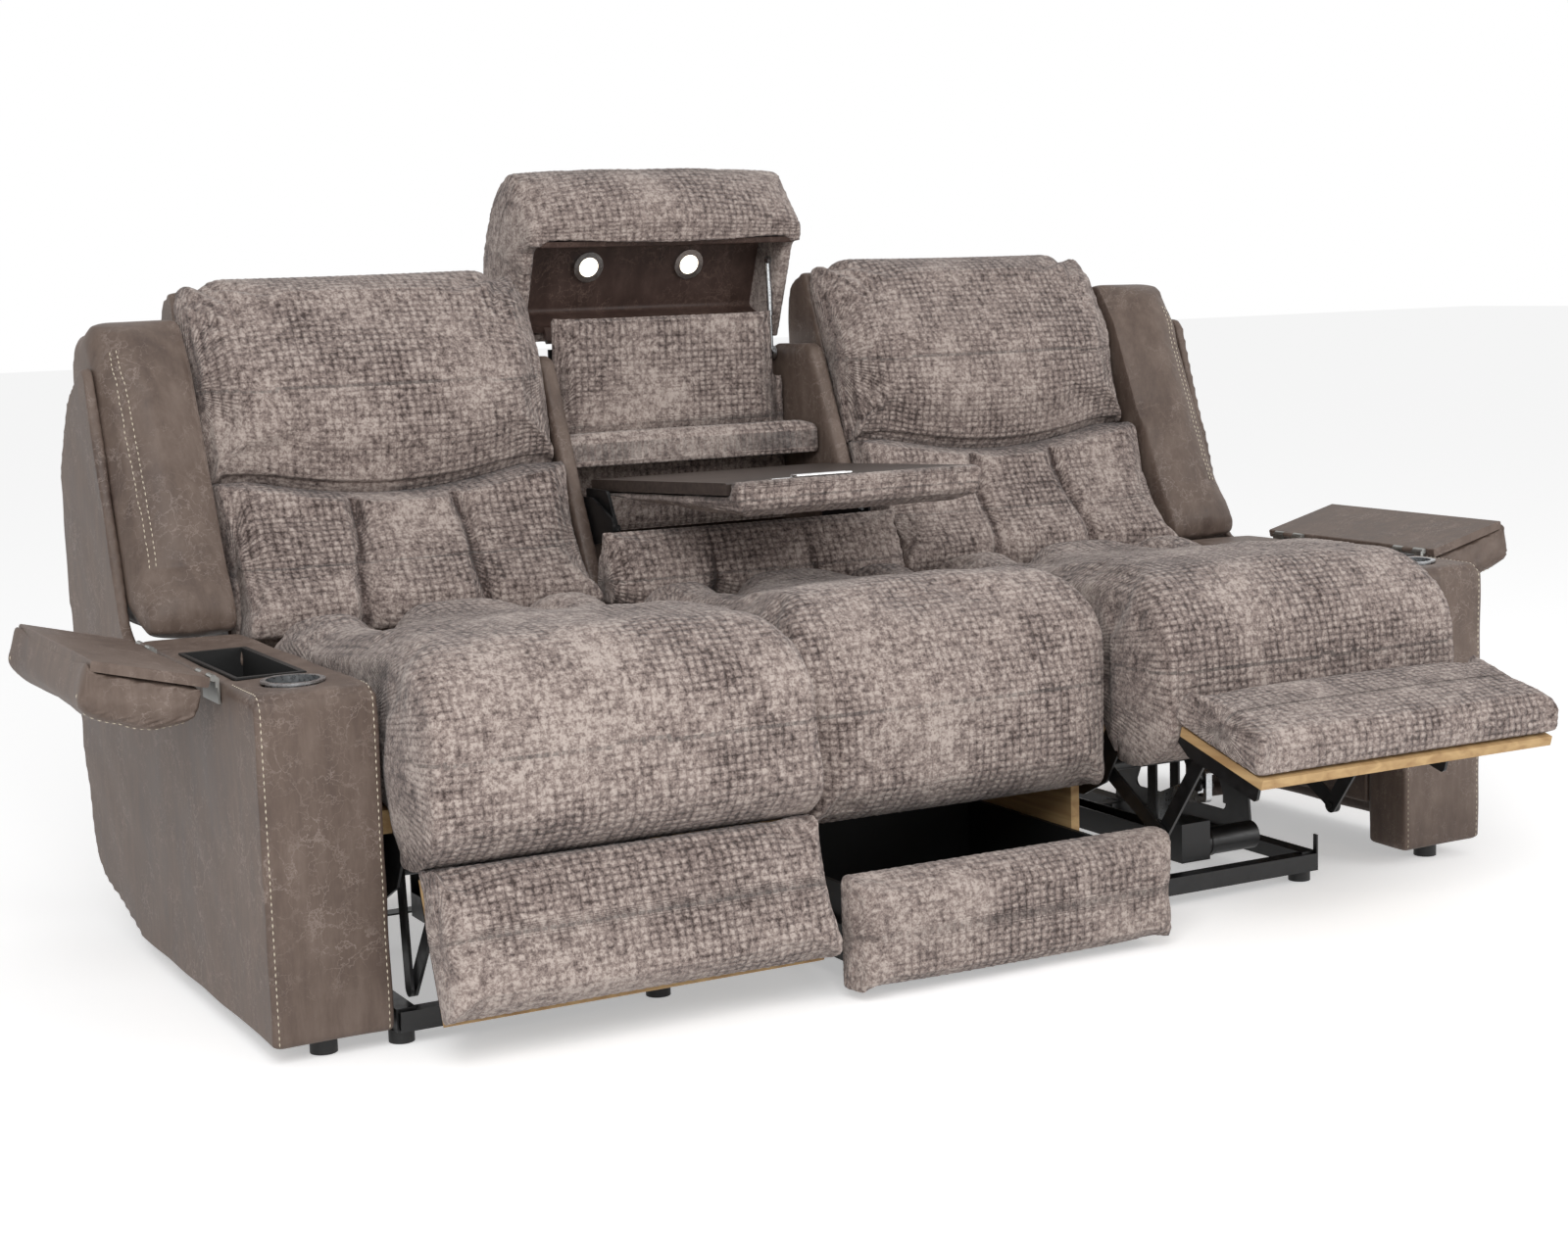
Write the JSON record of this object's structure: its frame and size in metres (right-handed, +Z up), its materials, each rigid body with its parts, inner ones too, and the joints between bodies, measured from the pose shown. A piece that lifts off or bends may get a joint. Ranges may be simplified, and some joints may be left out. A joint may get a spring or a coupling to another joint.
{
  "type": "reclining sofa",
  "caption": "Three-seat power reclining sofa with storage arms, drop-down table, lift-up centre headrest with lights, and a drawer under the middle seat.",
  "frame": {"origin": "on the floor, below the middle of the overall box", "axes": "+X to the viewer's right along the sofa, -Y toward the viewer and +Z up"},
  "size_m": [2.6312, 1.5962, 1.2663],
  "materials": {
    "leather": "distressed leather cloth, dull, with worn light scratches",
    "chenille": "soft chenille with a blocky weave and nap patches",
    "liner": "dark red-brown leather cloth",
    "plywood": "bare plywood",
    "tray_wood": "dark wood print, satin",
    "black_plastic": "moulded, matt",
    "black_steel": "black paint, satin",
    "steel": "brushed",
    "steel_hinge": "zinc plated",
    "chrome": "polished"
  },
  "bodies": {
    "base": {"arm_shells": "leather", "arm_side_panels": "plywood", "storage_bins": "black_plastic", "cup_holders": "steel", "lid_hinges": "steel_hinge", "switch_plates": "black_plastic", "recliner_bases": "black_steel", "glide_feet": "black_plastic", "centre_frame": "plywood", "centre_seat_cushion": "chenille", "drawer_runners": "black_steel", "centre_back_shell": "leather", "centre_ledge": "chenille", "centre_back_panel": "chenille", "lumbar_flap": "chenille", "centre_brackets": "black_steel"},
    "drawer": {"drawer_box": "black_plastic", "drawer_front": "chenille"},
    "table": {"table_tray": "tray_wood", "table_pad": "chenille", "table_levers": "black_steel"},
    "headrest_lid": {"rest_board": "liner", "rest_pad": "chenille", "rest_lights": "chrome"},
    "strut_cylinder": {"strut_tube": "black_steel"},
    "strut_piston": {"strut_rod": "steel"},
    "seat_left": {"seat_frame_left": "plywood", "seat_carriage_left": "black_steel", "seat_cushion_left": "chenille", "drive_motor_left": "black_steel"},
    "back_left": {"back_shell_left": "leather", "lumbar_cushion_left": "chenille", "headrest_cushion_left": "chenille", "side_bolster_left": "leather"},
    "footrest_left": {"footrest_pad_left": "chenille", "footrest_board_left": "plywood", "footrest_arms_left": "black_steel"},
    "lower_link_left": {"lower_links_left": "black_steel"},
    "upper_link_left": {"upper_links_left": "black_steel"},
    "nut_left": {"drive_nut_left": "steel"},
    "arm_lid_left": {"arm_lid_board_left": "leather", "arm_lid_pad_left": "leather"},
    "rocker_left": {"switch_rocker_left": "black_plastic"},
    "seat_right": {"seat_frame_right": "plywood", "seat_carriage_right": "black_steel", "seat_cushion_right": "chenille", "drive_motor_right": "black_steel"},
    "back_right": {"back_shell_right": "leather", "lumbar_cushion_right": "chenille", "headrest_cushion_right": "chenille", "side_bolster_right": "leather"},
    "footrest_right": {"footrest_pad_right": "chenille", "footrest_board_right": "plywood", "footrest_arms_right": "black_steel"},
    "lower_link_right": {"lower_links_right": "black_steel"},
    "upper_link_right": {"upper_links_right": "black_steel"},
    "nut_right": {"drive_nut_right": "steel"},
    "arm_lid_right": {"arm_lid_board_right": "leather", "arm_lid_pad_right": "leather"},
    "rocker_right": {"switch_rocker_right": "black_plastic"}
  },
  "joints": [
    {"name": "drawer_slide", "type": "slide", "parent": "base", "child": "drawer", "axis": [0, -1, 0], "range_m": [-0.175, 0.15]},
    {"name": "table_pivot", "type": "hinge", "parent": "base", "child": "table", "pos_m": [0, 0.287, 0.64], "axis": [-1, 0, 0], "range_deg": [0, 113]},
    {"name": "headrest_hinge", "type": "hinge", "parent": "base", "child": "headrest_lid", "pos_m": [0, 0.654, 0.962], "axis": [1, 0, 0], "range_deg": [0, 68]},
    {"name": "strut_pivot", "type": "hinge", "parent": "headrest_lid", "child": "strut_cylinder", "pos_m": [0.252, 0.627, 1.1], "axis": [1, 0, 0], "range_deg": [-14, 1]},
    {"name": "strut_slide", "type": "slide", "parent": "strut_cylinder", "child": "strut_piston", "axis": [0, -0.0393, -0.9992], "range_m": [-0.06, 0.001]},
    {"name": "seat_glide_left", "type": "slide", "parent": "base", "child": "seat_left", "axis": [0, -1, 0], "range_m": [0, 0.1]},
    {"name": "back_recline_left", "type": "hinge", "parent": "seat_left", "child": "back_left", "pos_m": [-0.62, 0.302, 0.42], "axis": [-1, 0, 0], "range_deg": [0, 35]},
    {"name": "footrest_pivot_left", "type": "hinge", "parent": "seat_left", "child": "footrest_left", "pos_m": [-0.716, -0.453, 0.395], "axis": [-1, 0, 0], "range_deg": [-20, 67]},
    {"name": "lower_link_pivot_left", "type": "hinge", "parent": "seat_left", "child": "lower_link_left", "pos_m": [-0.716, -0.343, 0.245], "axis": [-1, 0, 0], "range_deg": [-20.5, 67.5]},
    {"name": "upper_link_pivot_left", "type": "hinge", "parent": "footrest_left", "child": "upper_link_left", "pos_m": [-0.716, -0.46886, 0.21986], "axis": [-1, 0, 0], "range_deg": [-67.5, 20.5]},
    {"name": "nut_slide_left", "type": "slide", "parent": "seat_left", "child": "nut_left", "axis": [0, -1, 0], "range_m": [-0.02048, 0.06626]},
    {"name": "arm_lid_hinge_left", "type": "hinge", "parent": "base", "child": "arm_lid_left", "pos_m": [-1.128, -0.033, 0.535], "axis": [0, 1, 0], "range_deg": [0, 166]},
    {"name": "rocker_pivot_left", "type": "hinge", "parent": "base", "child": "rocker_left", "pos_m": [-0.9405, -0.208, 0.475], "axis": [0, 0, 1], "range_deg": [-6, 6], "stiffness_Nm_per_rad": 0.2},
    {"name": "seat_glide_right", "type": "slide", "parent": "base", "child": "seat_right", "axis": [0, -1, 0], "range_m": [0, 0.1]},
    {"name": "back_recline_right", "type": "hinge", "parent": "seat_right", "child": "back_right", "pos_m": [0.62, 0.302, 0.42], "axis": [-1, 0, 0], "range_deg": [0, 35]},
    {"name": "footrest_pivot_right", "type": "hinge", "parent": "seat_right", "child": "footrest_right", "pos_m": [0.526, -0.453, 0.395], "axis": [-1, 0, 0], "range_deg": [-75, 12]},
    {"name": "lower_link_pivot_right", "type": "hinge", "parent": "seat_right", "child": "lower_link_right", "pos_m": [0.526, -0.343, 0.245], "axis": [-1, 0, 0], "range_deg": [-75.5, 12.5]},
    {"name": "upper_link_pivot_right", "type": "hinge", "parent": "footrest_right", "child": "upper_link_right", "pos_m": [0.526, -0.60556, 0.30753], "axis": [-1, 0, 0], "range_deg": [-12.5, 75.5]},
    {"name": "nut_slide_right", "type": "slide", "parent": "seat_right", "child": "nut_right", "axis": [0, -1, 0], "range_m": [-0.07405, 0.01269]},
    {"name": "arm_lid_hinge_right", "type": "hinge", "parent": "base", "child": "arm_lid_right", "pos_m": [1.128, -0.033, 0.535], "axis": [0, -1, 0], "range_deg": [0, 166]},
    {"name": "rocker_pivot_right", "type": "hinge", "parent": "base", "child": "rocker_right", "pos_m": [0.9405, -0.208, 0.475], "axis": [0, 0, 1], "range_deg": [-6, 6], "stiffness_Nm_per_rad": 0.2}
  ],
  "couplings": [
    {"joint": "strut_pivot", "follows": "headrest_hinge", "ratio": -0.153},
    {"joint": "strut_slide", "follows": "headrest_hinge", "m_per_rad": -0.043673},
    {"joint": "seat_glide_left", "follows": "back_recline_left", "m_per_rad": 0.1637},
    {"joint": "lower_link_pivot_left", "follows": "footrest_pivot_left", "ratio": 1},
    {"joint": "upper_link_pivot_left", "follows": "footrest_pivot_left", "ratio": -1},
    {"joint": "nut_slide_left", "follows": "footrest_pivot_left", "m_per_rad": 0.055806},
    {"joint": "seat_glide_right", "follows": "back_recline_right", "m_per_rad": 0.1637},
    {"joint": "lower_link_pivot_right", "follows": "footrest_pivot_right", "ratio": 1},
    {"joint": "upper_link_pivot_right", "follows": "footrest_pivot_right", "ratio": -1},
    {"joint": "nut_slide_right", "follows": "footrest_pivot_right", "m_per_rad": 0.055806}
  ]
}
